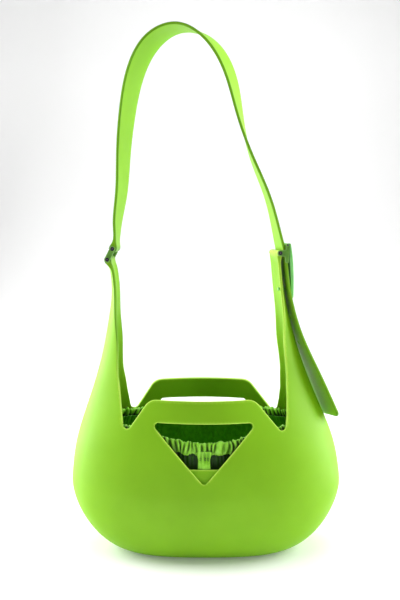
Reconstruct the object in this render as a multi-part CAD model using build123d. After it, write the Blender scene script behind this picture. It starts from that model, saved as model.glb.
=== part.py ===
"""Moulded shoulder bag with a lift-out gathered pouch: one solid for each separate piece.

Frame: millimetres, +Z up, origin at the centre of the flat base, +X to the clasp side, -Y to the front.
"""

from build123d import *
import math
import os

# ---------------------------------------------------------------- driving dimensions
WALL = 3.2  # thickness of the moulded shell and of the strap
CUT_REACH = 120.0  # cutters run this far past the middle plane
FLOOR = 3.8  # thickness of the shell's base
BAND = 45.0  # width of the strap and of the two horns where they meet it

WAIST = 83.0  # height of the shell's widest section
WAIST_HALF_WIDTH = 164.5
WAIST_HALF_DEPTH = 84.0
BASE_HALF_WIDTH = 88.0  # flat of the base
BASE_HALF_DEPTH = 46.0
BASE_POWER = 3.0  # superellipse power of the base's outline
ROUND_POWER = 1.8  # power of the rounding between base and waist

UPPER_HEIGHTS = [83, 110, 140, 165, 190, 215, 240, 270, 300, 330, 370]
OUTER_HEIGHTS = [0, 0.7, 2.5, 7, 15, 30, 54] + UPPER_HEIGHTS
INNER_HEIGHTS = [FLOOR, FLOOR + 0.7, 6.5, 11, 19, 33, 56] + UPPER_HEIGHTS
# Shell above the waist, as (height, value)
LEFT_SIDE = [(83, -164.5), (130, -158.5), (180, -143.0), (230, -127.5), (280, -117.2),
             (315, -113.0), (346, -115.3), (375, -118.0)]
RIGHT_SIDE = [(83, 164.5), (130, 156.5), (180, 136.5), (230, 116.3), (280, 100.5),
              (315, 92.3), (352, 87.5), (375, 84.5)]
HALF_DEPTH = [(83, 84.0), (130, 78.0), (160, 72.0), (190, 66.0), (210, 60.0), (250, 48.0),
              (300, 44.0), (375, 44.0)]
POWER = [(83, 2.0), (130, 1.9), (160, 1.75), (190, 1.6), (210, 1.65), (250, 2.2), (300, 3.1),
         (375, 3.8)]
TWIST_SHEAR = [(190, 0.0), (250, -0.06), (300, -0.114), (375, -0.114)]  # the right horn only

# Cut-outs, seen from the front as (x, z)
HANDLE_TOP = 191.4
MOUTH_OUTLINE = [(-95.5, 149.5), (-65.5, HANDLE_TOP), (55.5, HANDLE_TOP), (91.5, 148.8),
                 (94.6, 172.0), (95.3, 190.0), (94.2, 212.0), (78.0, 300.0), (68.0, 420.0),
                 (-101.0, 420.0), (-101.6, 212.0), (-100.2, 184.0)]
NOTCH_RADIUS = 4.8
HANDLE_CORNER_RADIUS = 11.0
MOUTH_RADII = [NOTCH_RADIUS, HANDLE_CORNER_RADIUS, HANDLE_CORNER_RADIUS, NOTCH_RADIUS] + [8.0] * 8
SLOT_OUTLINE = [(-64.5, 166.8), (58.5, 166.4), (-2.6, 98.5)]
SLOT_RADIUS = 4.2
HORN_HALF = 22.2  # half depth of a horn at its eye
HORN_EDGE = [(37.0, 198.0), (32.3, 215.0), (28.0, 256.0), (23.3, 304.0), (HORN_HALF, 330.0),
             (HORN_HALF, 420.0)]  # half depth of the horns and height

# Link at the left horn
LINK_LOWER = (-115.9, 351.4)
LINK_UPPER = (-109.7, 363.8)
HORN_EYE_RADIUS = 4.4
STRAP_EYE_RADIUS = 4.6
PIN_RADIUS = 2.0
PIN_CLEARANCE = 0.06
SIDE_GAP = 0.3  # between an eye's end and the plate beside it
PLATE_THICKNESS = 2.0
LINK_PLATE_WIDTH = 6.6
LINK_PLATE_END = 3.2  # how far a plate runs past its pin
LINK_PLATE_CORNER = 1.2
SCREW_HEAD_RADIUS = 2.3
SCREW_HEAD_HEIGHT = 0.7

# Clasp at the right horn. Its own frame: origin on the horn's pin, y along the pin, x outwards.
CLASP_PIN = (84.0, -0.35, 358.9)
CLASP_TURN = 6.5  # degrees about Z
CLASP_EYE_RADIUS = 3.7
ARM_GAP = 0.7  # between the strap's edge and an arm
ARM_THICKNESS = 2.4
ARM_RADIUS = 3.5
ARM_LOBE_RADIUS = 2.1
HINGE_AT = (8.6, 9.4)
HINGE_PIN_RADIUS = 1.1
ARM_REACH = (8.4, -0.8)
ARM_FOOT = (8.0, -9.5)
PLATE_LINE = [(10.2, 11.4), (15.2, -24.0), (17.4, -54.5)]  # top, middle and bottom of its mid-line
PLATE_TOP_THICKNESS = 4.4
PLATE_END_THICKNESS = 3.2
PLATE_HALF_TOP = BAND / 2 + ARM_GAP + ARM_THICKNESS
PLATE_HALF_END = 14.0
PLATE_SHOULDER = 17.0  # the plate tapers from this far below its top
ARM_ROOM = 0.3  # clear all round the arms inside the plate
KNUCKLE_RADIUS = 2.0
STUD_HEAD_RISE = 2.2  # from the plate's middle to the end of the stud's head
STUD_HEIGHT = -44.0
STUD_RADIUS = 2.2
STUD_TIP_X = 2.6
STUD_HOLE_RADIUS = 3.0

# Strap route, (x, z, twist in degrees about its own run), from the link over to the loose tail
STRAP_ROUTE = [(-107.9, 371.0, 0.0), (-106.2, 392.0, -4.0), (-101.6, 425.0, -9.0),
               (-97.9, 477.0, -13.5), (-92.4, 527.6, -17.0), (-80.9, 575.5, -18.8),
               (-62.0, 606.0, -14.5), (-31.0, 621.0, 1.0), (-2.0, 612.0, 15.0),
               (27.2, 571.2, 19.2), (39.6, 521.9, 11.6), (54.1, 472.6, 2.1), (73.7, 424.4, -1.5),
               (87.0, 373.5, -5.5), (90.2, 359.0, -6.5), (92.2, 345.0, -6.5),
               (94.4, 325.0, -6.5), (98.2, 304.0, -6.5), (110.3, 263.0, -7.0),
               (132.6, 214.0, -9.5), (157.2, 160.5, -12.0)]
STRAP_HOLES_BELOW = [(103.9, 281.5), (115.9, 250.5)]  # spare holes of the tail
TAIL_HOLE_LEAN = 110  # degrees from upright
HORN_STUD_REACH, STRAP_STUD_REACH = 24, 50  # lengths of the stud hole's cutter in the horn and in the strap
SECTIONS_PER_RUN = 3  # strap sections between two route points

# Pouch and what holds it
POUCH_INSET = 10.3  # from the shell's outer face to the pouch
CLOTH = 1.5
POUCH_FLOOR = 4.4
POUCH_HEIGHTS = [12, 24, 36, 56, 70, 83, 96, 110, 125, 140, 155, 170]
# Height of the pouch's rim along the front and the rear wall, as (x, z): it dips in the middle
RIM_LINE = {
    -1: [(-170, 163.5), (-120, 163.5), (-92, 161.5), (-50, 153.0), (-2, 147.0), (46, 152.5), (90, 161.5),
         (118, 163.5), (170, 163.5)],
    1: [(-170, 163.5), (-120, 163.5), (-60, 161.5), (0, 160.8), (60, 161.5), (118, 163.5), (170, 163.5)],
}
CASING_HEIGHT = 17.0
POUCH_TOP_DROP = 12.0  # the cloth wall ends inside the casing, this far below the rim
CASING_INSET = 7.2
CASING_DEPTH = 7.8
CASING_WALL = 1.5
ELASTIC_INSET = 9.8
ELASTIC_DEPTH = 2.4
ELASTIC_HEIGHT = 6.0
BAND_CENTRE_X = -2.6
RETAINER_WIDTH, RETAINER_LOW, RETAINER_HIGH = 66.0, 84.0, 116.0
RETAINER_INSET, RETAINER_DEPTH = WALL + 0.3, 1.9
TAB_WIDTH, TAB_LOW = 16.0, 87.0
TAB_INSET, TAB_DEPTH = WALL + 2.4, 1.2
TAB_HIGH = {-1: 136.0, 1: 149.0}  # front and rear, both up to the casing
SNAP_HEIGHT = 92.0
SNAP_STUD_RADIUS = 1.8
SNAP_SOCKET_RADIUS = 5.0
SNAP_STUD_LENGTH = 4.6
TAB_HOLE_ROOM = 0.2
SOCKET_NEAR, SOCKET_FAR = WALL + 4.3, WALL + 6.1  # insets of a socket's two faces
STUD_ROOT = WALL + 1.3  # inset at which a press stud is rooted in its band


# ---------------------------------------------------------------- shape functions
def value_at(table, z):
    """Smooth value of a (height, value) table at a height."""
    heights = [row[0] for row in table]
    values = [row[1] for row in table]
    if z <= heights[0]:
        return values[0]
    if z >= heights[-1]:
        return values[-1]
    i = max(k for k in range(len(heights) - 1) if heights[k] <= z)

    def slope(k):
        low, high = max(k - 1, 0), min(k + 1, len(heights) - 1)
        return (values[high] - values[low]) / (heights[high] - heights[low])

    span = heights[i + 1] - heights[i]
    u = (z - heights[i]) / span
    start, end = slope(i) * span, slope(i + 1) * span
    return ((2 * u**3 - 3 * u**2 + 1) * values[i] + (u**3 - 2 * u**2 + u) * start
            + (3 * u**2 - 2 * u**3) * values[i + 1] + (u**3 - u**2) * end)


def section_sizes(z, inset, floor):
    """Centre x, half width, half depth and power of the shell's section at a height."""
    if z < WAIST:
        rise = (WAIST - z) / (WAIST - floor)
        k = max(0.0, 1 - min(1.0, rise)**ROUND_POWER) ** (1 / ROUND_POWER)
        half_width = BASE_HALF_WIDTH + (WAIST_HALF_WIDTH - inset - BASE_HALF_WIDTH) * k
        half_depth = BASE_HALF_DEPTH + (WAIST_HALF_DEPTH - inset - BASE_HALF_DEPTH) * k
        return 0.0, half_width, half_depth, BASE_POWER + (POWER[0][1] - BASE_POWER) * z / WAIST
    left, right = value_at(LEFT_SIDE, z), value_at(RIGHT_SIDE, z)
    half_depth = value_at(HALF_DEPTH, z) - inset
    return (left + right) / 2, (right - left) / 2 - inset, half_depth, value_at(POWER, z)


def section_face(z, inset=0.0, floor=0.0, points=36):
    """The shell's section at a height, moved inwards by an inset, as a face."""
    centre, half_width, half_depth, power = section_sizes(z, inset, floor)
    shear = value_at(TWIST_SHEAR, z)
    outline = []
    for k in range(points):
        angle = 2 * math.pi * k / points
        across = math.copysign(abs(math.cos(angle)) ** (2 / power), math.cos(angle))
        y = half_depth * math.copysign(abs(math.sin(angle)) ** (2 / power), math.sin(angle))
        outline.append((centre + half_width * across + shear * y * max(0.0, across), y, z))
    return Face(Wire([Spline(outline, periodic=True)]))


def section_loft(heights, inset=0.0, floor=0.0):
    return loft([section_face(z, inset, floor) for z in heights])


def front_depth(x, z, inset=0.0):
    """Distance of the shell's face, at an inset, from the middle plane."""
    centre, half_width, half_depth, power = section_sizes(z, inset, 0.0)
    return half_depth * (1 - abs((x - centre) / half_width) ** power) ** (1 / power)


def through_cut(corners, radii):
    """A rounded outline seen from the front, cut right through along Y."""
    path = FilletPolyline(*[(x, 0, z) for x, z in corners], radius=radii, close=True)
    return extrude(Face(Wire(path.edges())), amount=CUT_REACH, dir=(0, 1, 0), both=True)


def cylinder_y(radius, x, z, low, high):
    middle = Location((x, (low + high) / 2, z), (90, 0, 0))
    return middle * Cylinder(radius, high - low)


def clasp_place():
    return Location(CLASP_PIN, (0, 0, CLASP_TURN))


def link_place():
    lean = math.degrees(math.atan2(LINK_UPPER[0] - LINK_LOWER[0], LINK_UPPER[1] - LINK_LOWER[1]))
    return Location((LINK_LOWER[0], 0, LINK_LOWER[1]), (0, lean, 0))


def link_length():
    return math.dist(LINK_LOWER, LINK_UPPER)


# ---------------------------------------------------------------- shell
def horn_trim(side):
    """What is cut from the front (-1) or the rear (1) of both horns."""
    edge = [(0, side * y, z) for y, z in HORN_EDGE]
    edge += [(0, side * CUT_REACH, HORN_EDGE[-1][1]), (0, side * CUT_REACH, HORN_EDGE[0][1])]
    return extrude(Face(Wire.make_polygon(edge)), amount=2 * CUT_REACH, dir=(1, 0, 0), both=True)


def above(x, height):
    """A block over one horn, from its pin's height up."""
    return Location((x, 0, height + 50)) * Box(200, 200, 100)


def stud_hole(length):
    """Cutter for the clasp stud's hole, along the clasp's own x axis."""
    return clasp_place() * Location((0, 0, STUD_HEIGHT), (0, 90, 0)) * Cylinder(STUD_HOLE_RADIUS, length)


def shell():
    body = section_loft(OUTER_HEIGHTS) - section_loft(INNER_HEIGHTS, WALL, FLOOR)
    body -= through_cut(MOUTH_OUTLINE, MOUTH_RADII)
    body -= through_cut(SLOT_OUTLINE, [SLOT_RADIUS] * 3)
    body = body - horn_trim(-1) - horn_trim(1)
    body = body - above(-150, LINK_LOWER[1]) - above(150, CLASP_PIN[2])
    body += cylinder_y(HORN_EYE_RADIUS, *LINK_LOWER, -HORN_HALF, HORN_HALF)
    body += clasp_place() * cylinder_y(CLASP_EYE_RADIUS, 0, 0, -HORN_HALF, HORN_HALF)
    hole = PIN_RADIUS + PIN_CLEARANCE
    body -= cylinder_y(hole, *LINK_LOWER, -BAND, BAND)
    body -= clasp_place() * cylinder_y(hole, 0, 0, -BAND, BAND)
    return body - stud_hole(HORN_STUD_REACH)


# ---------------------------------------------------------------- strap
def strap_sections():
    """Rectangles along the route, each turned about the route by its own twist."""
    line = Spline([(x, 0, z) for x, z, _ in STRAP_ROUTE])
    twists = [(line.param_at_point(Vector(x, 0, z)), twist) for x, z, twist in STRAP_ROUTE]
    steps = SECTIONS_PER_RUN * (len(STRAP_ROUTE) - 1)
    for k in range(steps + 1):
        run = (line % (k / steps)).normalized()
        turn = value_at(twists, k / steps)
        width = Vector(0, 1, 0).rotate(Axis((0, 0, 0), tuple(run)), turn)
        place = Plane(origin=line @ (k / steps), x_dir=width, z_dir=run)
        yield (place * Rectangle(BAND, WALL)).face()


def strap():
    body = loft(list(strap_sections()))
    body += cylinder_y(STRAP_EYE_RADIUS, *LINK_UPPER, -BAND / 2, BAND / 2)
    neck = Location(((LINK_UPPER[0] + STRAP_ROUTE[0][0]) / 2 + 0.4, 0, LINK_UPPER[1] + STRAP_EYE_RADIUS))
    body += neck * Box(WALL, BAND, 2 * STRAP_EYE_RADIUS - 2.0)
    body -= cylinder_y(PIN_RADIUS + PIN_CLEARANCE, *LINK_UPPER, -BAND, BAND)
    body -= stud_hole(STRAP_STUD_REACH)
    for x, z in STRAP_HOLES_BELOW:
        body -= Location((x, 0, z), (0, TAIL_HOLE_LEAN, 0)) * Cylinder(STUD_HOLE_RADIUS, 5 * WALL)
    return body


# ---------------------------------------------------------------- link at the left horn
def link_plate(side):
    low, high = -LINK_PLATE_END, link_length() + LINK_PLATE_END
    near = BAND / 2 + SIDE_GAP
    middle = Location((0, side * (near + PLATE_THICKNESS / 2), (low + high) / 2), (90, 0, 0))
    face = RectangleRounded(LINK_PLATE_WIDTH, high - low, LINK_PLATE_CORNER)
    plate = middle * extrude(face, PLATE_THICKNESS / 2, both=True)
    for height in (0.0, link_length()):
        plate -= cylinder_y(PIN_RADIUS, 0, height, -BAND, BAND)
    return link_place() * plate


def link_pin(height):
    reach = BAND / 2 + SIDE_GAP + PLATE_THICKNESS
    return link_place() * cylinder_y(PIN_RADIUS, 0, height, -reach, reach)


def screw_heads(place, heights, near):
    """A head on the front and on the rear end of each pin."""
    heads = [cylinder_y(SCREW_HEAD_RADIUS, 0, height, low, low + SCREW_HEAD_HEIGHT)
             for height in heights for low in (-near - SCREW_HEAD_HEIGHT, near)]
    return Compound(children=[place * head for head in heads])


def link_screws():
    return screw_heads(link_place(), (0.0, link_length()), BAND / 2 + SIDE_GAP + PLATE_THICKNESS)


# ---------------------------------------------------------------- clasp at the right horn
def capsule_y(start, end, radius, low, high):
    """A round-ended bar in the x-z plane, between two y values."""
    lean = math.degrees(math.atan2(end[0] - start[0], end[1] - start[1]))
    middle = Location(((start[0] + end[0]) / 2, (low + high) / 2, (start[1] + end[1]) / 2), (0, lean, 0))
    bar = middle * Box(2 * radius, high - low, math.dist(start, end))
    return bar + cylinder_y(radius, *start, low, high) + cylinder_y(radius, *end, low, high)


def clasp_arm(side):
    near = BAND / 2 + ARM_GAP
    low, high = sorted((side * near, side * (near + ARM_THICKNESS)))
    arm = capsule_y((0, 0), ARM_REACH, ARM_RADIUS, low, high)
    arm += capsule_y(ARM_REACH, HINGE_AT, ARM_LOBE_RADIUS, low, high)
    arm += capsule_y(ARM_REACH, ARM_FOOT, ARM_LOBE_RADIUS, low, high)
    arm -= cylinder_y(PIN_RADIUS, 0, 0, -BAND, BAND)
    arm -= cylinder_y(HINGE_PIN_RADIUS, *HINGE_AT, -BAND, BAND)
    return clasp_place() * arm


def clasp_pin():
    reach = BAND / 2 + ARM_GAP + ARM_THICKNESS
    return clasp_place() * cylinder_y(PIN_RADIUS, 0, 0, -reach, reach)


def clasp_hinge_pin():
    reach = BAND / 2 + ARM_GAP + ARM_THICKNESS
    return clasp_place() * cylinder_y(HINGE_PIN_RADIUS, *HINGE_AT, -reach, reach)


def clasp_screws():
    return screw_heads(clasp_place(), (0.0,), BAND / 2 + ARM_GAP + ARM_THICKNESS)


def plate_side(sign):
    """The inner (-1) or outer (1) face of the clasp plate, seen along its pin."""
    thicknesses = (PLATE_TOP_THICKNESS, (PLATE_TOP_THICKNESS + PLATE_END_THICKNESS) / 2, PLATE_END_THICKNESS)
    return ThreePointArc(*[(x + sign * t / 2, 0, z) for (x, z), t in zip(PLATE_LINE, thicknesses)])


def plate_outline():
    """The clasp plate's outline, seen from the bag's right."""
    top, end = PLATE_LINE[0][1] + 1, PLATE_LINE[-1][1]
    shoulder = top - PLATE_SHOULDER
    half = [(PLATE_HALF_TOP, top, 1.0), (PLATE_HALF_TOP, shoulder, 8.0), (PLATE_HALF_END, end, 5.0)]
    corners = half + [(-y, z, radius) for y, z, radius in reversed(half)]
    radii = [radius for _, _, radius in corners]
    path = FilletPolyline(*[(0, y, z) for y, z, _ in corners], radius=radii, close=True)
    return Face(Wire(path.edges()))


def clasp_plate():
    """A bowed, tapered plate with a knuckle on the hinge pin and room for the arms."""
    inner, outer = plate_side(-1), plate_side(1)
    closed = Wire([inner, outer, Line(inner @ 0, outer @ 0), Line(inner @ 1, outer @ 1)])
    plate = extrude(Face(closed), amount=PLATE_HALF_TOP, dir=(0, 1, 0), both=True)
    plate &= extrude(plate_outline(), amount=BAND, dir=(1, 0, 0), both=True)
    for low, high in ((-BAND, -BAND / 2), (BAND / 2, BAND)):
        plate -= capsule_y(ARM_REACH, HINGE_AT, ARM_LOBE_RADIUS + ARM_ROOM, low, high)
        plate -= capsule_y(ARM_REACH, ARM_FOOT, ARM_LOBE_RADIUS + ARM_ROOM, low, high)
        plate -= capsule_y((0, 0), ARM_REACH, ARM_RADIUS + ARM_ROOM, low, high)
    plate += capsule_y(HINGE_AT, (PLATE_LINE[0][0], HINGE_AT[1]), KNUCKLE_RADIUS, -BAND / 2, BAND / 2)
    plate -= cylinder_y(HINGE_PIN_RADIUS + PIN_CLEARANCE, *HINGE_AT, -BAND, BAND)
    plate -= Location((0, 0, STUD_HEIGHT), (0, 90, 0)) * Cylinder(STUD_RADIUS, 60)
    return clasp_place() * plate


def clasp_stud():
    """Runs from the horn's hole out through the tail and the plate."""
    length = PLATE_LINE[1][0] + STUD_HEAD_RISE - STUD_TIP_X
    stud = Location((STUD_TIP_X + length / 2, 0, STUD_HEIGHT), (0, 90, 0)) * Cylinder(STUD_RADIUS, length)
    return clasp_place() * stud


# ---------------------------------------------------------------- pouch
def rim_slab(low, high):
    """The space between two levels, given from the pouch's rim, in a front and a rear half."""
    halves = []
    for side, line in RIM_LINE.items():
        top = Spline([(x, 0, z) for x, z in line])
        lower, upper = Location((0, 0, low)) * top, Location((0, 0, high)) * top
        closed = Wire([lower, upper, Line(lower @ 0, upper @ 0), Line(lower @ 1, upper @ 1)])
        halves.append(extrude(Face(closed), amount=CUT_REACH, dir=(0, side, 0)))
    return halves[0] + halves[1]


def wall_ring(inset, depth, heights=(70, 83, 96, 110, 125, 140, 155, 170)):
    """A belt of even depth that follows the shell's wall at an inset."""
    return section_loft(heights, inset) - section_loft(heights, inset + depth)


def pouch_body():
    floor = POUCH_FLOOR + CLOTH
    outer = section_loft([POUCH_FLOOR, POUCH_FLOOR + 2.5] + POUCH_HEIGHTS, POUCH_INSET, POUCH_FLOOR)
    inner = section_loft([floor, floor + 2.5] + POUCH_HEIGHTS, POUCH_INSET + CLOTH, floor)
    return outer - inner - rim_slab(-POUCH_TOP_DROP, 60.0)


def pouch_casing():
    belt = wall_ring(CASING_INSET, CASING_DEPTH) & rim_slab(-CASING_HEIGHT, 0.0)
    channel = wall_ring(CASING_INSET + CASING_WALL, CASING_DEPTH - 2 * CASING_WALL)
    return belt - (channel & rim_slab(-2 * CASING_HEIGHT, -CASING_WALL))


def pouch_elastic():
    high = -CASING_WALL - 0.5
    return wall_ring(ELASTIC_INSET, ELASTIC_DEPTH) & rim_slab(high - ELASTIC_HEIGHT, high)


def wall_patch(inset, depth, width, low, high, side):
    """A piece of the belt, a given width wide, at the front (-1) or the rear (1)."""
    block = Location((BAND_CENTRE_X, side * 70, (low + high) / 2)) * Box(width, 80, high - low)
    return wall_ring(inset, depth) & block


def retaining_band(side):
    band = wall_patch(RETAINER_INSET, RETAINER_DEPTH, RETAINER_WIDTH, RETAINER_LOW, RETAINER_HIGH, side)
    return band - snap_piece(SNAP_STUD_RADIUS, STUD_ROOT, STUD_ROOT + 10, side)


def pouch_tab(side):
    tab = wall_patch(TAB_INSET, TAB_DEPTH, TAB_WIDTH, TAB_LOW, TAB_HIGH[side], side)
    return tab - snap_cutter(TAB_HOLE_ROOM)


def snap_cutter(room):
    """Cuts both press studs' holes at once."""
    return cylinder_y(SNAP_STUD_RADIUS + room, BAND_CENTRE_X, SNAP_HEIGHT, -CUT_REACH, CUT_REACH)


def snap_piece(outer_radius, inset_out, inset_in, side):
    wall = front_depth(BAND_CENTRE_X, SNAP_HEIGHT)
    low, high = sorted((side * (wall - inset_out), side * (wall - inset_in)))
    return cylinder_y(outer_radius, BAND_CENTRE_X, SNAP_HEIGHT, low, high)


def tab_snap_studs():
    tip = STUD_ROOT + SNAP_STUD_LENGTH
    return Compound(children=[snap_piece(SNAP_STUD_RADIUS, STUD_ROOT, tip, side) for side in (-1, 1)])


def tab_snap_sockets():
    sockets = []
    for side in (-1, 1):
        disc = snap_piece(SNAP_SOCKET_RADIUS, SOCKET_NEAR, SOCKET_FAR, side)
        sockets.append(disc - snap_cutter(PIN_CLEARANCE))
    return Compound(children=sockets)


# ---------------------------------------------------------------- the set of parts
def parts():
    return {
        "shell": shell(),
        "strap": strap(),
        "link_plate_front": link_plate(-1),
        "link_plate_rear": link_plate(1),
        "link_lower_pin": link_pin(0.0),
        "link_upper_pin": link_pin(link_length()),
        "link_screws": link_screws(),
        "clasp_arm_front": clasp_arm(-1),
        "clasp_arm_rear": clasp_arm(1),
        "clasp_pin": clasp_pin(),
        "clasp_hinge_pin": clasp_hinge_pin(),
        "clasp_screws": clasp_screws(),
        "clasp_plate": clasp_plate(),
        "clasp_stud": clasp_stud(),
        "pouch_body": pouch_body(),
        "pouch_casing": pouch_casing(),
        "pouch_elastic": pouch_elastic(),
        "pouch_tab_front": pouch_tab(-1),
        "pouch_tab_rear": pouch_tab(1),
        "retaining_band_front": retaining_band(-1),
        "retaining_band_rear": retaining_band(1),
        "tab_snap_studs": tab_snap_studs(),
        "tab_snap_sockets": tab_snap_sockets(),
    }


os.makedirs("parts", exist_ok=True)
for name, solid in parts().items():
    export_step(solid, os.path.join("parts", name + ".step"))
    print(f"{name}: {len(solid.solids())} solid(s), {solid.volume / 1000:.2f} cm3")
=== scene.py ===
"""Looks of the moulded shoulder bag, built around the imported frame.

Lengths are in millimetres until a mesh is made. +X is the clasp side, -Y the front, +Z up.
"""
import math

import bpy
import numpy as np
from mathutils import Matrix, Vector, geometry, kdtree


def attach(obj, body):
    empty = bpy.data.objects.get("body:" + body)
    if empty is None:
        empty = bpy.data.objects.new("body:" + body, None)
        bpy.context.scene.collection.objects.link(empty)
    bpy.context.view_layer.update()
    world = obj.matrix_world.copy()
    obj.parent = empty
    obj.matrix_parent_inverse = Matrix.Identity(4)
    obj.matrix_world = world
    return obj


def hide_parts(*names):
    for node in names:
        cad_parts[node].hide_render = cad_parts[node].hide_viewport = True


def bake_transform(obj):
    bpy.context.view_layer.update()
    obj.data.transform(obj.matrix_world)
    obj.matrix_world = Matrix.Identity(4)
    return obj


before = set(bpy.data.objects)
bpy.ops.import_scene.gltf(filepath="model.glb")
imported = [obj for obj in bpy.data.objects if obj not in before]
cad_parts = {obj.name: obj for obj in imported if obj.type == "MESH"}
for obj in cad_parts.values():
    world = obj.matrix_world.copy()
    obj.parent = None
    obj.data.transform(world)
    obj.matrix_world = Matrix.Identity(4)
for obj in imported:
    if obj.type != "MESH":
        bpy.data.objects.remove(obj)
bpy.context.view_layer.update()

MM = 0.001
rng = np.random.default_rng(7)

# ---------------------------------------------------------------- dimensions
WALL = 3.2  # thickness of the moulded shell and of the strap
BAND = 45.0  # width of the strap and of the horns at their eyes
RIM = 1.1  # how far a moulded edge rounds over

WAIST, WAIST_HALF_WIDTH, WAIST_HALF_DEPTH = 83.0, 164.5, 84.0
BASE_HALF_WIDTH, BASE_HALF_DEPTH, BASE_POWER = 88.0, 46.0, 3.0
ROUND_POWER = 1.8  # of the rounding between base and waist
FOOT_RUN = 70.0  # run of the flat base, from its middle to its edge
ROUND_RUN = 115.0  # run of the rounding, from the base's edge to the waist
TOP_HEIGHT = 400.0  # the wall's formula is worked out up to here
SMOOTHING = 4.0  # the profiles are evened out over this run

# The wall above the waist, as (height, value)
LEFT_SIDE = [(83, -164.5), (130, -158.5), (180, -143.0), (230, -127.5), (280, -117.2),
             (315, -113.0), (346, -115.3), (375, -118.0)]
RIGHT_SIDE = [(83, 164.5), (130, 156.5), (180, 136.5), (230, 116.3), (280, 100.5),
              (315, 92.3), (352, 87.5), (375, 84.5)]
HALF_DEPTH = [(83, 84.0), (130, 78.0), (160, 72.0), (190, 66.0), (210, 60.0), (250, 48.0),
              (300, 44.0), (375, 44.0)]
POWER = [(83, 2.0), (130, 1.9), (160, 1.75), (190, 1.6), (210, 1.65), (250, 2.2), (300, 3.1),
         (375, 3.8)]
TWIST_SHEAR = [(83, 0.0), (190, 0.0), (250, -0.06), (300, -0.114), (375, -0.114)]  # the right horn only

# Cut-outs, seen from the front as (x, z, corner radius)
MOUTH = [(-95.5, 149.5, 4.8), (-65.5, 192.2, 17.0), (55.5, 192.2, 17.0), (91.5, 148.8, 4.8),
         (94.6, 172.0, 8.0), (95.3, 190.0, 8.0),
         (94.2, 212.0, 8.0), (78.0, 300.0, 8.0), (68.0, 420.0, 8.0), (-101.0, 420.0, 8.0),
         (-101.6, 212.0, 8.0), (-100.2, 184.0, 8.0)]
SLOT = [(-64.5, 166.8, 4.2), (58.5, 166.4, 4.2), (-2.6, 98.5, 4.2)]
HORN_EDGE = [(170, 50.0), (180, 44.0), (198, 37.0), (215, 32.3), (256, 28.0), (304, 23.3), (330, 22.2),
             (420, 22.2)]  # height and half depth
HORN_HALF = 22.2
REAR_RISE = 2.2  # how much further the rear handle stands up
JOIN_HEIGHT = 184.0  # the mouth's outline goes over into the horns' edges here
FILL_FROM = 92.0  # the wall is filled around its cut-outs from this height up

# Link at the left horn, clasp at the right one
LINK_LOWER, LINK_UPPER = (-115.9, 351.4), (-109.7, 363.8)
HORN_EYE, CLASP_EYE, STRAP_EYE = 4.4, 3.7, 4.6  # radii
PIN_RADIUS, HINGE_PIN_RADIUS, STUD_RADIUS, STUD_HOLE = 2.0, 1.1, 2.2, 3.0
SIDE_GAP, PLATE_THICKNESS = 0.3, 2.0
CLASP_PIN, CLASP_TURN = (84.0, -0.35, 358.9), 6.5
ARM_GAP, ARM_THICKNESS = 0.7, 2.4
HINGE_AT = (8.6, 9.4)
STUD_HEIGHT, STUD_TIP_X = -44.0, 2.6
PLATE_LINE = [(10.2, 11.4), (15.2, -24.0), (17.4, -54.5)]
PLATE_TOP_THICKNESS, PLATE_END_THICKNESS = 4.4, 3.2
PLATE_HALF_TOP, PLATE_HALF_END = 25.6, 14.0

# Strap route, (x, z, twist in degrees about its own run), from the link's upper pin to the loose tail
STRAP_ROUTE = [LINK_UPPER + (0.0,), (-107.9, 371.0, 0.0), (-106.2, 392.0, -4.0), (-101.6, 425.0, -9.0),
               (-97.9, 477.0, -13.5), (-92.4, 527.6, -17.0), (-80.9, 575.5, -18.8), (-62.0, 606.0, -14.5),
               (-31.0, 621.0, 1.0), (-2.0, 612.0, 15.0), (27.2, 571.2, 19.2), (39.6, 521.9, 11.6),
               (54.1, 472.6, 2.1), (73.7, 424.4, -1.5), (87.0, 373.5, -5.5), (90.2, 359.0, -6.5),
               (92.2, 345.0, -6.5), (94.4, 325.0, -6.5), (98.2, 304.0, -6.5), (109.4, 263.0, -9.0),
               (129.9, 214.0, -14.5), (153.6, 160.5, -17.5)]
STRAP_HOLE_HEIGHTS = [314.9, 281.5, 250.5]  # on the tail
TAIL_CORNER = 6.0
BEND_REACH = (6.0, 96.0)  # two reaches from the upper pin along BEND_SLOPE; build() works out their points but uses them nowhere
BEND_SLOPE = 30.0  # degrees above +X

# Pouch
RIM_LINE = {-1: [(-170, 163.5), (-120, 163.5), (-92, 161.5), (-50, 153.0), (-2, 147.0), (46, 152.5),
                 (90, 161.5), (118, 163.5), (170, 163.5)],
            1: [(-170, 163.5), (-120, 163.5), (-60, 161.5), (0, 160.8), (60, 161.5),
                (118, 163.5), (170, 163.5)]}
BAND_CENTRE_X = -2.6
RETAINER = (66.0, 84.0, 116.0, WALL + 0.3, 1.9)  # width, bottom, top, inset, thickness
TAB = (16.0, 87.0, WALL + 2.4, 1.2)  # width, bottom, inset, thickness
STITCH_ROWS = {-1: (128.8, 127.0), 1: (142.0, 140.2)}
TAB_TOP = {-1: 136.0, 1: 149.0}
SNAP_HEIGHT = 92.0


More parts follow.
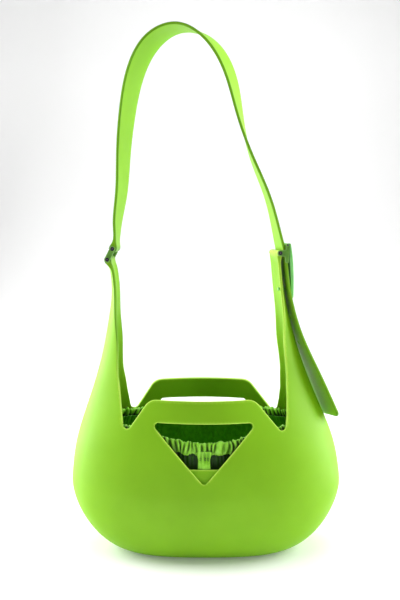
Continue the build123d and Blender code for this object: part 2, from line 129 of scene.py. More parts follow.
# ---------------------------------------------------------------- curves
def spline(knots, values):
    """A smooth curve through values at rising knots, as a function of an array."""
    x = np.asarray(knots, float)
    y = np.asarray(values, float).reshape(len(x), -1)
    h, n = np.diff(x), len(x)
    a, r = np.zeros((n, n)), np.zeros_like(y)
    a[0, 0] = a[-1, -1] = 1.0
    for i in range(1, n - 1):
        a[i, i - 1:i + 2] = h[i - 1], 2 * (h[i - 1] + h[i]), h[i]
        r[i] = 6 * ((y[i + 1] - y[i]) / h[i] - (y[i] - y[i - 1]) / h[i - 1])
    m = np.linalg.solve(a, r)

    def at(t):
        t = np.clip(np.asarray(t, float), x[0], x[-1])
        i = np.clip(np.searchsorted(x, t, side="right") - 1, 0, n - 2)
        u, w, s = (t - x[i])[..., None], (x[i + 1] - t)[..., None], h[i][..., None]
        value = ((m[i] * w**3 + m[i + 1] * u**3) / (6 * s) + (y[i] / s - m[i] * s / 6) * w
                 + (y[i + 1] / s - m[i + 1] * s / 6) * u)
        return value[..., 0] if y.shape[1] == 1 else value

    return at


def table(rows):
    return spline([row[0] for row in rows], [row[1] for row in rows])


def unit(v):
    return v / np.maximum(np.linalg.norm(v, axis=-1, keepdims=True), 1e-9)


def evened(values, step):
    """Values of even spacing, blurred over SMOOTHING."""
    reach = int(4 * SMOOTHING / step)
    kernel = np.exp(-0.5 * (np.arange(-reach, reach + 1) * step / SMOOTHING) ** 2)
    padded = np.pad(values, reach, mode="reflect", reflect_type="odd")
    return np.convolve(padded, kernel / kernel.sum(), mode="valid")


# ---------------------------------------------------------------- the moulded wall
def wall_profiles():
    """The wall's height, sides, depth and power along its run, from the middle of the base up."""
    step = 0.5
    run = np.arange(-FOOT_RUN, ROUND_RUN + TOP_HEIGHT - WAIST, step)
    turn = np.clip(run / ROUND_RUN, 0, 1) * math.pi / 2
    rise, k = np.cos(turn) ** (2 / ROUND_POWER), np.sin(turn) ** (2 / ROUND_POWER)
    height = np.where(run < ROUND_RUN, WAIST * (1 - rise), WAIST + run - ROUND_RUN)
    foot = np.clip(1 + run / FOOT_RUN, 0, 1)
    low = run < ROUND_RUN
    half_width = (BASE_HALF_WIDTH + (WAIST_HALF_WIDTH - BASE_HALF_WIDTH) * k) * foot
    half_depth = (BASE_HALF_DEPTH + (WAIST_HALF_DEPTH - BASE_HALF_DEPTH) * k) * foot
    ease = (1 - np.clip(height / WAIST, 0, 1)) ** 2
    low_power = POWER[0][1] + (BASE_POWER - POWER[0][1]) * ease
    shapes = {
        "height": height,
        "left": np.where(low, -half_width, table(LEFT_SIDE)(height)),
        "right": np.where(low, half_width, table(RIGHT_SIDE)(height)),
        "depth": np.where(low, half_depth, table(HALF_DEPTH)(height)),
        "power": np.where(low, low_power, table(POWER)(height)),
        "shear": np.where(low, 0.0, table(TWIST_SHEAR)(height)),
    }
    return run, {name: evened(values, step) for name, values in shapes.items()}


RUN, PROFILES = wall_profiles()
SOFT = 0.2  # rounds off the section's four ends where its power is under 2


def run_at(z):
    return ROUND_RUN + np.asarray(z, float) - WAIST


def wall_points(angle, run):
    """Points of the wall's outer face at an angle round the bag, 0 at +X, and a run up its side."""
    shape = {name: np.interp(run, RUN, values) for name, values in PROFILES.items()}
    n = shape["power"]

    def raised(c):
        return ((c * c + SOFT**2) ** (n / 2) - SOFT**n) / ((1 + SOFT**2) ** (n / 2) - SOFT**n)

    c, s = np.cos(angle), np.sin(angle)
    r = (raised(c) + raised(s)) ** (-1 / n)
    y = shape["depth"] * r * s
    across = r * c
    x = (shape["left"] + shape["right"]) / 2 + (shape["right"] - shape["left"]) / 2 * across
    x = x + shape["shear"] * y * np.maximum(across, 0)
    return np.stack([x, y, shape["height"]], -1)


def wall_normals(angle, run):
    turn, step = 0.004, 0.6
    around = wall_points(angle + turn, run) - wall_points(angle - turn, run)
    up = wall_points(angle, run + step) - wall_points(angle, run - step)
    normals = unit(np.cross(around, up))
    normals[np.asarray(run) < -0.8 * FOOT_RUN] = (0, 0, -1)
    return normals


def inner_points(angle, run, inset):
    """Points at an inset from the wall's outer face."""
    return wall_points(angle, run) - wall_normals(angle, run) * np.reshape(inset, (-1, 1))


def solve_angle(target, run, start, end, column):
    """The angle between start and end where the wall's x (0) or y (1) is the target."""
    target, run = np.broadcast_arrays(np.asarray(target, float), np.asarray(run, float))
    low, high = np.full(target.shape, float(start)), np.full(target.shape, float(end))
    rising = wall_points(high, run)[..., column] > wall_points(low, run)[..., column]
    for _ in range(34):
        middle = (low + high) / 2
        under = (wall_points(middle, run)[..., column] < target) == rising
        low, high = np.where(under, middle, low), np.where(under, high, middle)
    return (low + high) / 2


def angle_at_x(x, z, side):
    """Angle of the front (-1) or rear (1) wall at x, from 0 at the right horn to half a turn either way."""
    return solve_angle(x, run_at(z), side * math.pi, 0.0, 0)


def angle_at_y(y, z, horn):
    """Angle of the left (-1) or right (1) horn at y."""
    middle = 0.0 if horn > 0 else math.pi
    return solve_angle(y, run_at(z), middle - math.pi / 2, middle + math.pi / 2, 1)


# Around the bag, even steps of "spread" are about even in millimetres.
SPREAD_MEAN, SPREAD_SWING = 107.5, 21.25
AROUND = 2 * math.pi * SPREAD_MEAN
ANGLES = np.linspace(-4 * math.pi, 4 * math.pi, 40001)
SPREADS = SPREAD_MEAN * ANGLES - SPREAD_SWING * np.sin(2 * ANGLES)


def spread_of(angle):
    return SPREAD_MEAN * angle - SPREAD_SWING * np.sin(2 * angle)


def angle_of(spread):
    return np.interp(spread, SPREADS, ANGLES)


# ---------------------------------------------------------------- outlines
def rounded(corners, step=1.7):
    """A closed outline, anticlockwise, from corners (a, b, radius), with even steps."""
    points = []
    for k, (x, y, radius) in enumerate(corners):
        here = np.array((x, y))
        before = unit(np.array(corners[k - 1][:2]) - here)
        after = unit(np.array(corners[(k + 1) % len(corners)][:2]) - here)
        half = math.acos(np.clip(before @ after, -1, 1)) / 2
        if radius <= 0 or half > 1.5:
            points.append(here)
            continue
        centre = here + unit(before + after) * radius / math.sin(half)
        start = here + before * radius / math.tan(half) - centre
        sweep = math.pi - 2 * half
        turn = -1 if before[0] * after[1] - before[1] * after[0] > 0 else 1
        count = max(2, int(math.ceil(radius * sweep / min(step, radius * 0.25))))
        for a in np.linspace(0, sweep * turn, count + 1):
            points.append(centre + (start[0] * math.cos(a) - start[1] * math.sin(a),
                                    start[0] * math.sin(a) + start[1] * math.cos(a)))
    points = np.array(points)
    if signed_area(points) < 0:
        points = points[::-1]
    return stepped(points, step)


def stepped(points, step, closed=True):
    """The same line with its long runs cut into steps."""
    ends = np.roll(points, -1, 0) if closed else points[1:]
    made = []
    for a, b in zip(points, ends):
        count = max(1, int(round(np.linalg.norm(b - a) / step)))
        made.extend(a + (b - a) * t for t in np.arange(count) / count)
    if not closed:
        made.append(points[-1])
    return np.array(made)


def signed_area(points):
    after = np.roll(points, -1, 0)
    return 0.5 * float((points[:, 0] * after[:, 1] - points[:, 1] * after[:, 0]).sum())


def grown(points, distance):
    """An anticlockwise outline moved outwards."""
    tangent = unit(np.roll(points, -1, 0) - points) + unit(points - np.roll(points, 1, 0))
    tangent = unit(tangent)
    return points + np.stack([tangent[:, 1], -tangent[:, 0]], -1) * distance


def circle(a, b, radius, count=20):
    turn = np.arange(count) * 2 * math.pi / count
    return np.stack([a + radius * np.cos(turn), b + radius * np.sin(turn)], -1)


# ---------------------------------------------------------------- meshes
def inside(points, outline):
    """Which points are inside a closed outline."""
    hit = np.zeros(len(points), bool)
    for start in range(0, len(points), 4000):
        p = points[start:start + 4000]
        for a, b in zip(outline, np.roll(outline, -1, 0)):
            crosses = (a[1] > p[:, 1]) != (b[1] > p[:, 1])
            if a[1] != b[1]:
                at = a[0] + (p[:, 1] - a[1]) * (b[0] - a[0]) / (b[1] - a[1])
                hit[start:start + 4000] ^= crosses & (p[:, 0] < at)
    return hit


def fill(outline, holes=(), step=3.0):
    """Points and triangles that fill an outline in even steps, with holes left out."""
    low, high = outline.min(0), outline.max(0)
    rows = np.arange(low[1] + step / 2, high[1], step * 0.866)
    columns = np.arange(low[0] + step / 2, high[0] + step / 2, step)
    grid = np.array([(x + (k % 2) * step / 2, y) for k, y in enumerate(rows) for x in columns])
    loops = [outline, *holes]
    edge = np.concatenate(loops)
    keep = inside(grid, outline)
    for hole in holes:
        keep &= ~inside(grid, hole)
    grid = grid[keep]
    tree = kdtree.KDTree(len(edge))
    for k, p in enumerate(edge):
        tree.insert((p[0], p[1], 0), k)
    tree.balance()
    clear = np.array([tree.find((p[0], p[1], 0))[2] for p in grid])
    points = np.concatenate([edge, grid[clear > 0.6 * step]])
    edges, first = [], 0
    for loop in loops:
        edges += [(first + k, first + (k + 1) % len(loop)) for k in range(len(loop))]
        first += len(loop)
    made = geometry.delaunay_2d_cdt([Vector(p) for p in points], edges, [], 0, 1e-6)
    points = np.array([tuple(p) for p in made[0]])
    faces = np.array([f for f in made[2] if len(f) == 3])
    middle = points[faces].mean(1)
    keep = inside(middle, outline)
    for hole in holes:
        keep &= ~inside(middle, hole)
    faces = faces[keep]
    a, b, c = points[faces[:, 0]], points[faces[:, 1]], points[faces[:, 2]]
    clockwise = (b - a)[:, 0] * (c - a)[:, 1] - (b - a)[:, 1] * (c - a)[:, 0] < 0
    faces[clockwise] = faces[clockwise][:, ::-1]
    return points, [tuple(int(k) for k in f) for f in faces]


def welded(points, faces, reach=0.02):
    """Joins points that lie together. Returns which points stay, and the faces."""
    tree = kdtree.KDTree(len(points))
    for k, p in enumerate(points):
        tree.insert(p, k)
    tree.balance()
    goes = np.arange(len(points))
    for k, p in enumerate(points):
        if goes[k] == k:
            for _, other, _ in tree.find_range(p, reach):
                if other > k:
                    goes[other] = k
    keep = np.unique(goes)
    place = np.zeros(len(points), int)
    place[keep] = np.arange(len(keep))
    made = []
    for f in faces:
        g = [int(place[goes[k]]) for k in f]
        g = [a for k, a in enumerate(g) if a != g[k - 1]]
        if len(g) > 2:
            made.append(tuple(g))
    return keep, made


RIM_ROWS = 6


def thicken(points, normals, faces, depth, rim):
    """A solid skin below the given outer face, with a rounded rim along each free edge.

    depth is the thickness at each point. rim(index, outward) gives how far the rim stands out at each point
    of an edge, and the power of its profile, 1 for round and less for squarer.
    """
    count = len(points)
    inner = points - normals * depth[:, None]
    sides = set()
    for f in faces:
        sides.update(zip(f, f[1:] + f[:1]))
    after = {a: b for a, b in sides if (b, a) not in sides}
    before = {b: a for a, b in after.items()}
    edge = np.array(sorted(after))
    place = {int(v): k for k, v in enumerate(edge)}
    ahead, behind = np.array([after[v] for v in edge]), np.array([before[v] for v in edge])
    tangent = unit(unit(points[ahead] - points[edge]) + unit(points[edge] - points[behind]))
    outward = unit(np.cross(tangent, normals[edge]))
    reach, power = rim(edge, outward)
    reach, power = np.broadcast_to(reach, edge.shape), np.broadcast_to(power, edge.shape)
    middle, half = (points[edge] + inner[edge]) / 2, depth[edge] / 2
    layers = [points, inner]
    for k in range(1, RIM_ROWS + 1):
        turn = math.pi * k / (RIM_ROWS + 1)
        c, s = math.cos(turn), math.sin(turn)
        along = math.copysign(1, c) * abs(c) ** power if abs(c) > 1e-6 else np.zeros_like(power)
        up, out = (half * along)[:, None], (reach * s**power)[:, None]
        layers.append(middle + normals[edge] * up + outward * out)
    made = list(faces) + [tuple(count + k for k in reversed(f)) for f in faces]

    def at(v, row):
        if row == 0:
            return int(v)
        if row == RIM_ROWS + 1:
            return count + int(v)
        return 2 * count + (row - 1) * len(edge) + place[int(v)]

    for a in edge:
        b = after[int(a)]
        for row in range(RIM_ROWS + 1):
            made.append((at(b, row), at(a, row), at(a, row + 1), at(b, row + 1)))
    return np.concatenate(layers), made


def plain_rim(reach=RIM, power=0.62):
    return lambda index, outward: (reach, power)


def joined(*meshes):
    """Several (points, faces) as one."""
    points, faces, first = [], [], 0
    for p, f in meshes:
        points.append(np.asarray(p, float))
        faces += [tuple(first + k for k in g) for g in f]
        first += len(p)
    return np.concatenate(points), faces


def piece(name, mesh, material, body="shell", replaces=()):
    """Makes the object, in metres, and gives it its finish, its body and the CAD nodes that it stands for."""
    points, faces = mesh
    data = bpy.data.meshes.new(name)
    data.from_pydata((np.asarray(points) * MM).tolist(), [], faces)
    data.polygons.foreach_set("use_smooth", [True] * len(data.polygons))
    data.materials.append(material)
    data.update()
    made = bpy.data.objects.new(name, data)
    bpy.context.scene.collection.objects.link(made)
    if body:
        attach(made, body)
    if replaces:
        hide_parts(*replaces)
    return made


def plate(outline, holes, thickness, place, rim=0.5, step=1.2, power=0.6):
    """A flat plate with rounded edges. place maps local (a, b, height over the middle) to the bag's frame."""
    flat, faces = fill(grown(outline, -rim), [grown(h, rim) for h in holes], step)
    top = place(np.column_stack([flat, np.full(len(flat), thickness / 2)]))
    low = place(np.column_stack([flat, np.full(len(flat), -thickness / 2)]))
    return thicken(top, unit(top - low), faces, np.full(len(flat), float(thickness)), plain_rim(rim, power))


def turned(profile, place, sides=40, hexagon=()):
    """A lathed solid from (radius, height) rows. Rows in hexagon get a six-sided outline."""
    turn = np.arange(sides) * 2 * math.pi / sides
    flat = math.cos(math.pi / 6) / np.cos((turn + math.pi / 6) % (math.pi / 3) - math.pi / 6)
    rows = []
    for k, (radius, height) in enumerate(profile):
        r = radius * (flat if k in hexagon else np.ones(sides))
        rows.append(np.column_stack([r * np.cos(turn), r * np.sin(turn), np.full(sides, height)]))
    faces = []
    for k in range(len(profile) - 1):
        for j in range(sides):
            i = (j + 1) % sides
            faces.append((k * sides + j, k * sides + i, (k + 1) * sides + i, (k + 1) * sides + j))
    faces.append(tuple(reversed(range(sides))))
    faces.append(tuple((len(profile) - 1) * sides + j for j in range(sides)))
    return place(np.concatenate(rows)), faces


# ---------------------------------------------------------------- places
def rotation(axis, degrees):
    return np.array(Matrix.Rotation(math.radians(degrees), 3, axis))


LINK_LEAN = math.degrees(math.atan2(LINK_UPPER[0] - LINK_LOWER[0], LINK_UPPER[1] - LINK_LOWER[1]))
LINK_LENGTH = math.dist(LINK_LOWER, LINK_UPPER)


def link_place(points):
    """From the link's frame, z from its lower to its upper pin, to the bag's."""
    return points @ rotation("Y", LINK_LEAN).T + (LINK_LOWER[0], 0, LINK_LOWER[1])


def clasp_place(points):
    """From the clasp's frame, y along the horn's pin and x outwards, to the bag's."""
    return points @ rotation("Z", CLASP_TURN).T + CLASP_PIN


def along_y(place, x, z, sign=1):
    """For plates and lathed parts that face along y: their own height runs along sign * y from the middle."""
    def at(points):
        return place(np.column_stack([x + points[:, 0] * -sign, points[:, 2] * sign, z + points[:, 1]]))
    return at


# ---------------------------------------------------------------- shell
def slot_loops():
    """Outlines of both hand slots, as (spread, run)."""
    outline = grown(rounded(SLOT), RIM)
    loops = []
    for side in (-1, 1):
        height = outline[:, 1] + (REAR_RISE / 2 if side > 0 else 0.0)
        angle = angle_at_x(outline[:, 0], height, side)
        angle = np.where(angle < 0, angle + 2 * math.pi, angle)
        loop = np.column_stack([spread_of(angle), run_at(height)])
        loops.append(loop if signed_area(loop) > 0 else loop[::-1])
    return loops


def horn_half(z, horn, mouth):
    """Half depth of a horn: the narrower of the mouth's outline and the horn's own edge."""
    side = mouth[(mouth[:, 1] > JOIN_HEIGHT - 10) & (mouth[:, 0] * horn > 85)]
    side = side[np.argsort(side[:, 1])]
    x = np.interp(z, side[:, 1], side[:, 0])
    angle = angle_at_x(x, z, -1)
    from_mouth = -wall_points(angle, run_at(z))[:, 1]
    own = table(HORN_EDGE)(z) - RIM
    narrower = (from_mouth + own - np.sqrt((from_mouth - own) ** 2 + 1.0)) / 2
    share = np.clip((z - JOIN_HEIGHT) / 30, 0, 1)
    return from_mouth * (1 - share) + narrower * share


def upper_edge():
    """The wall's free upper edge round the bag, as (angle, run): front, right horn, rear, left horn."""
    mouth = grown(rounded(MOUTH), RIM)
    low = mouth[(mouth[:, 1] < JOIN_HEIGHT) | ((np.abs(mouth[:, 0]) < 80) & (mouth[:, 1] < JOIN_HEIGHT + 20))]
    start = int(np.argmax(np.linalg.norm(low - np.roll(low, 1, 0), axis=1)))
    low = np.roll(low, -start, 0)
    if low[0, 0] > low[-1, 0]:
        low = low[::-1]
    front = np.column_stack([angle_at_x(low[:, 0], low[:, 1], -1), run_at(low[:, 1])])
    rear_height = low[:, 1] + REAR_RISE * np.clip((low[:, 1] - 155) / 30, 0, 1) * (np.abs(low[:, 0]) < 88)
    rear = np.column_stack([angle_at_x(low[:, 0], rear_height, 1), run_at(rear_height)])[::-1]
    horns = {}
    for horn, top in ((1, CLASP_PIN[2]), (-1, LINK_LOWER[1])):
        z = np.arange(JOIN_HEIGHT + 1.5, top - 0.8, 1.8)
        half = horn_half(z, horn, mouth)
        climb = np.column_stack([angle_at_y(-half, z, horn), run_at(z)])
        down = np.column_stack([angle_at_y(half, z, horn), run_at(z)])
        y = np.linspace(-half[-1], half[-1], 25)
        across = np.column_stack([angle_at_y(y, np.full(25, top), horn), np.full(25, run_at(top))])
        if horn < 0:
            climb, down, across = down, climb, across[::-1]
        horns[horn] = np.concatenate([climb, across, down[::-1]])
    loop = np.concatenate([front, horns[1], rear, horns[-1]])
    loop[:, 0] = np.unwrap(loop[:, 0])
    return loop


def shell_mesh():
    loop = upper_edge()
    seam = int(np.argmin(np.hypot(loop[:, 0] - math.radians(54), loop[:, 1] - run_at(172))))
    loop = np.roll(loop, -seam, 0)
    loop[:, 0] = np.unwrap(loop[:, 0])
    loop[:, 0] -= 2 * math.pi * round((loop[0, 0] - math.radians(54)) / (2 * math.pi))
    top = np.column_stack([spread_of(loop[:, 0]), loop[:, 1]])
    first = top[0, 0]
    columns = 226
    base_run = run_at(FILL_FROM)
    spread = first + AROUND * np.arange(columns + 1) / columns
    bottom = np.column_stack([spread, np.full(columns + 1, base_run)])
    rows = np.linspace(base_run, top[0, 1], int((top[0, 1] - base_run) / 3))[1:-1]
    right = np.column_stack([np.full(len(rows), first + AROUND), rows])
    left = np.column_stack([np.full(len(rows), first), rows[::-1]])
    end = top[0] + (AROUND, 0)
    outline = np.concatenate([bottom, right, [end], top[::-1], left])
    holes = slot_loops()
    hole = circle(0.6, CLASP_PIN[2] + STUD_HEIGHT, STUD_HOLE + 0.6)
    angle = angle_at_y(hole[:, 0], hole[:, 1], 1) + 2 * math.pi
    hole = np.column_stack([spread_of(angle), run_at(hole[:, 1])])
    upper, faces = fill(outline, holes + [hole], 3.0)
    low_rows = np.linspace(-FOOT_RUN, base_run, 64)
    lower = [(first + AROUND * i / columns, run) for run in low_rows[1:] for i in range(columns + 1)]
    low_faces = []
    for j in range(len(low_rows) - 2):
        for i in range(columns):
            k = j * (columns + 1) + i
            low_faces.append((k, k + 1, k + columns + 2, k + columns + 1))
    pole = len(lower)
    low_faces += [(pole, i + 1, i) for i in range(columns)]
    lower.append((first, -FOOT_RUN))
    flat, faces = joined((upper, faces), (np.array(lower), low_faces))
    angle, run = angle_of(flat[:, 0]), flat[:, 1]
    points = wall_points(angle, run)
    points[-1] = (0, 0, 0)
    keep, faces = welded(points, faces)
    points, normals = points[keep], wall_normals(angle[keep], run[keep])
    return eyed_shell(points, normals, faces)


def eyed_shell(points, normals, faces):
    """Thickens the wall, with a round eye along the top of each horn."""
    depth, lift = np.full(len(points), WALL), np.zeros(len(points))
    for horn, top, centre, radius in ((-1, LINK_LOWER[1], LINK_LOWER[0], HORN_EYE),
                                      (1, CLASP_PIN[2], CLASP_PIN[0], CLASP_EYE)):
        near = np.exp(-(((top - points[:, 2]) / 7.5) ** 2)) * (points[:, 0] * horn > 0) * (points[:, 2] > 250)
        middle = centre - points[:, 1] * math.tan(math.radians(CLASP_TURN)) * (horn > 0)
        lift += near * ((middle - points[:, 0]) * horn + radius)
        depth += near * (2 * radius - WALL)
    points = points + normals * lift[:, None]

    def rim(index, outward):
        high = points[index, 2] > 340
        up = np.where(high, np.clip(outward[:, 2], 0, 1) ** 2, 0)
        return RIM + up * (depth[index] / 2 - RIM), 0.62 + 0.38 * up

    points, faces = thicken(points, normals, faces, depth, rim)
    high = points[:, 2] > 320
    points[high, 1] = np.clip(points[high, 1], -HORN_HALF, HORN_HALF)
    return points, faces


# ---------------------------------------------------------------- strap
def strap_line():
    """The strap's middle line, its run, its width direction and its length."""
    route = np.array(STRAP_ROUTE, float)
    length = np.concatenate([[0], np.cumsum(np.linalg.norm(np.diff(route[:, :2], axis=0), axis=1))])
    fine = np.linspace(0, length[-1], 4001)
    line = spline(length, route)(fine)
    run = np.concatenate([[0], np.cumsum(np.linalg.norm(np.diff(line[:, :2], axis=0), axis=1))])
    return run, line


STRAP_RUN, STRAP_LINE = strap_line()


def strap_points(run, across, height):
    """From (run, across, height over the middle face) to the bag's frame."""
    x, z, twist = (np.interp(run, STRAP_RUN, STRAP_LINE[:, k]) for k in range(3))
    step = 0.5
    later, sooner = ([np.interp(at, STRAP_RUN, STRAP_LINE[:, k]) for k in range(2)]
                     for at in (run + step, run - step))
    ahead = [later[k] - sooner[k] for k in range(2)]
    along = unit(np.column_stack([ahead[0], np.zeros(len(x)), ahead[1]]))
    turn = np.radians(twist)[:, None]
    width = np.cos(turn) * (0, 1, 0) + np.sin(turn) * np.cross(along, np.array((0, 1, 0)))
    normal = np.cross(along, width)
    return (np.column_stack([x, np.zeros(len(x)), z]) + width * np.reshape(across, (-1, 1))
            + normal * np.reshape(height, (-1, 1))), normal


def strap_mesh():
    length = STRAP_RUN[-1]
    half = BAND / 2 - RIM
    outline = rounded([(0, -half, 0), (length - RIM, -half, TAIL_CORNER), (length - RIM, half, TAIL_CORNER),
                       (0, half, 0)], 2.0)
    tail = STRAP_RUN > length * 0.6
    holes = [circle(np.interp(-z, -STRAP_LINE[tail, 1], STRAP_RUN[tail]), 0.0, STUD_HOLE + 0.6)
             for z in STRAP_HOLE_HEIGHTS]
    flat, faces = fill(outline, holes, 2.8)
    near = np.exp(-((flat[:, 0] / 7.0) ** 2))
    depth = WALL + near * (2 * STRAP_EYE - WALL)
    points, normals = strap_points(flat[:, 0], flat[:, 1], depth / 2)

    def rim(index, outward):
        down = np.where(flat[index, 0] < 3, np.clip(-outward[:, 2], 0, 1) ** 2, 0)
        return RIM + down * (depth[index] / 2 - RIM), 0.62 + 0.38 * down

    points, faces = thicken(points, normals, faces, depth, rim)
    low = (points[:, 2] < 374) & (points[:, 0] < 0)
    points[low, 1] = np.clip(points[low, 1], -BAND / 2, BAND / 2)
    return points, faces


# ---------------------------------------------------------------- hardware
def screw_head(place, x, z, near, sign):
    """A low domed head with a hexagon socket, its underside at near from the middle plane."""
    profile = [(0.01, 0.15), (1.15, 0.15), (1.2, 0.62), (1.55, 0.7), (2.0, 0.58), (2.3, 0.22), (2.3, 0.0),
               (0.01, 0.0)]
    return turned([(r, near + h) for r, h in profile], along_y(place, x, z, sign), hexagon=(0, 1, 2))


def pin(place, x, z, radius, reach):
    bevel = 0.3
    profile = [(0.01, -reach), (radius - bevel, -reach), (radius, -reach + bevel), (radius, reach - bevel),
               (radius - bevel, reach), (0.01, reach)]
    return turned(profile, along_y(place, x, z))


def link_plate(side):
    end, half = 3.2, 3.3
    top, radius = LINK_LENGTH + end, 2.2
    corners = [(-half, -end, radius), (half, -end, radius), (half, top, radius), (-half, top, radius)]
    middle = BAND / 2 + SIDE_GAP + PLATE_THICKNESS / 2

    def place(points):
        across = side * (middle + points[:, 2])
        return link_place(np.column_stack([-side * points[:, 0], across, points[:, 1]]))

    holes = [circle(0, z, PIN_RADIUS + 0.1, 28) for z in (0, LINK_LENGTH)]
    return plate(rounded(corners, 0.7), holes, PLATE_THICKNESS, place, rim=0.45, step=0.9)


def clasp_arm(side):
    """A flat arm: an eye on the horn's pin, and a cross piece that runs up to the plate's hinge."""
    corners = [(-3.5, -3.5, 3.3), (5.6, -3.9, 1.2), (5.9, -11.6, 2.0), (10.1, -11.6, 2.0), (10.6, 0.0, 6.0),
               (10.7, 11.5, 2.0), (6.5, 11.5, 2.0), (6.3, 3.4, 1.2), (-3.5, 3.5, 3.3)]
    middle = BAND / 2 + ARM_GAP + ARM_THICKNESS / 2

    def place(points):
        return clasp_place(np.column_stack([points[:, 0], side * (middle + points[:, 2]), points[:, 1]]))

    outline = rounded(corners, 0.7)
    holes = [circle(0, 0, PIN_RADIUS + 0.1, 28), circle(*HINGE_AT, HINGE_PIN_RADIUS + 0.05, 20)]
    points, faces = plate(outline, holes, ARM_THICKNESS, place, rim=0.5, step=0.9)
    return points, (faces if side < 0 else [tuple(reversed(f)) for f in faces])


def clasp_plate_mesh():
    """The bowed, tapered plate with a raised border, its knuckle, and room for the arms behind its top."""
    line = spline([-row[1] for row in PLATE_LINE], [row[0] for row in PLATE_LINE])
    top, end = PLATE_LINE[0][1] - 0.6, PLATE_LINE[-1][1] + 0.6
    wide, narrow = PLATE_HALF_TOP - 0.6, PLATE_HALF_END - 0.4
    corners = [(-wide, top, 2.0), (-wide, top - 17, 9.0), (-narrow, end, 5.0), (narrow, end, 5.0),
               (wide, top - 17, 9.0), (wide, top, 2.0)]
    outline = rounded(corners, 1.3)
    hole = circle(0, STUD_HEIGHT, STUD_RADIUS + 0.5, 24)
    flat, faces = fill(outline, [hole], 1.25)
    tree = kdtree.KDTree(len(outline))
    for k, p in enumerate(outline):
        tree.insert((p[0], p[1], 0), k)
    tree.balance()
    from_edge = np.array([tree.find((p[0], p[1], 0))[2] for p in flat])
    share = (top - flat[:, 1]) / (top - end)
    thick = PLATE_TOP_THICKNESS + (PLATE_END_THICKNESS - PLATE_TOP_THICKNESS) * share
    sunk = 0.55 * np.clip((from_edge - 3.2) / 1.0, 0, 1)
    over_arm = (np.abs(flat[:, 0]) > BAND / 2 + 0.2) & (flat[:, 1] > -13.5)
    middle = line(-flat[:, 1])
    outer, inner = middle + thick / 2 - sunk, middle - thick / 2
    inner = np.where(over_arm, np.maximum(inner, 11.1), inner)
    points = clasp_place(np.column_stack([outer, flat[:, 0], flat[:, 1]]))
    behind = clasp_place(np.column_stack([inner, flat[:, 0], flat[:, 1]]))
    depth = np.linalg.norm(points - behind, axis=1)
    mesh = thicken(points, unit(points - behind), faces, depth, plain_rim(0.6))
    knuckle = turned([(0.01, -22.3), (1.7, -22.3), (2.0, -22.0), (2.0, 22.0), (1.7, 22.3), (0.01, 22.3)],
                     along_y(clasp_place, *HINGE_AT))
    return joined(mesh, knuckle)


def clasp_stud_mesh():
    """A stud with a mushroom tip in the horn's hole and a domed, ringed head on the plate."""
    high = PLATE_LINE[1][0] + 2.2
    profile = [(0.01, STUD_TIP_X), (1.5, STUD_TIP_X), (2.1, STUD_TIP_X + 0.5), (2.2, STUD_TIP_X + 1.3),
               (1.7, STUD_TIP_X + 2.0), (1.7, high - 2.6), (2.2, high - 2.2), (2.2, high - 0.7),
               (1.9, high - 0.2), (1.2, high), (1.0, high - 0.25), (0.01, high - 0.25)]

    def place(points):
        return clasp_place(np.column_stack([points[:, 2], points[:, 0], points[:, 1] + STUD_HEIGHT]))

    return turned(profile, place)


# ---------------------------------------------------------------- pouch
def rim_height(angle):
    """Height of the pouch's rim at an angle round the bag."""
    x = wall_points(angle, np.full(np.shape(angle), run_at(150.0)))[:, 0]
    front, rear = (table(RIM_LINE[side])(x) for side in (-1, 1))
    share = np.clip(0.5 + np.sin(angle) * 4, 0, 1)
    return front * (1 - share) + rear * share


def wandering(count, size):
    """A closed random line of even spread: count values, smooth over size of them."""
    waves = np.zeros(count)
    turn = np.arange(count) * 2 * math.pi / count
    top = max(2, int(count / size))
    for k in range(1, top + 1):
        waves += rng.normal() * np.cos(k * turn + rng.uniform(0, 2 * math.pi)) / math.sqrt(top)
    return waves


def pleats(around):
    """Random pleats round the rim: their edges in millimetres round it, and how full each one is."""
    widths = []
    while sum(widths) < around:
        wide = rng.random() < 0.16
        widths.append(rng.uniform(8.0, 12.0) if wide else rng.uniform(3.4, 6.4))
    widths = np.array(widths) * around / sum(widths)
    return np.concatenate([[0], np.cumsum(widths)]), rng.uniform(0.45, 1.0, len(widths))


def even_angles(count, z):
    """Angles of even steps round the pouch's rim, and the way round it."""
    fine = np.linspace(0, 2 * math.pi, 4001)
    points = inner_points(fine, np.full(4001, run_at(z)), np.full(4001, 11.0))
    way = np.concatenate([[0], np.cumsum(np.linalg.norm(np.diff(points, axis=0), axis=1))])
    return np.interp(np.arange(count) * way[-1] / count, way, fine), way[-1]


def ridge(place, edges, fullness):
    """How far a pleat stands out at each place round the rim: 0 in a crease, up to 1 on a full fold."""
    around = edges[-1]
    place = np.mod(place, around)
    k = np.clip(np.searchsorted(edges, place, side="right") - 1, 0, len(fullness) - 1)
    share = (place - edges[k]) / (edges[k + 1] - edges[k])
    return fullness[k] * np.sin(math.pi * share) ** 0.9


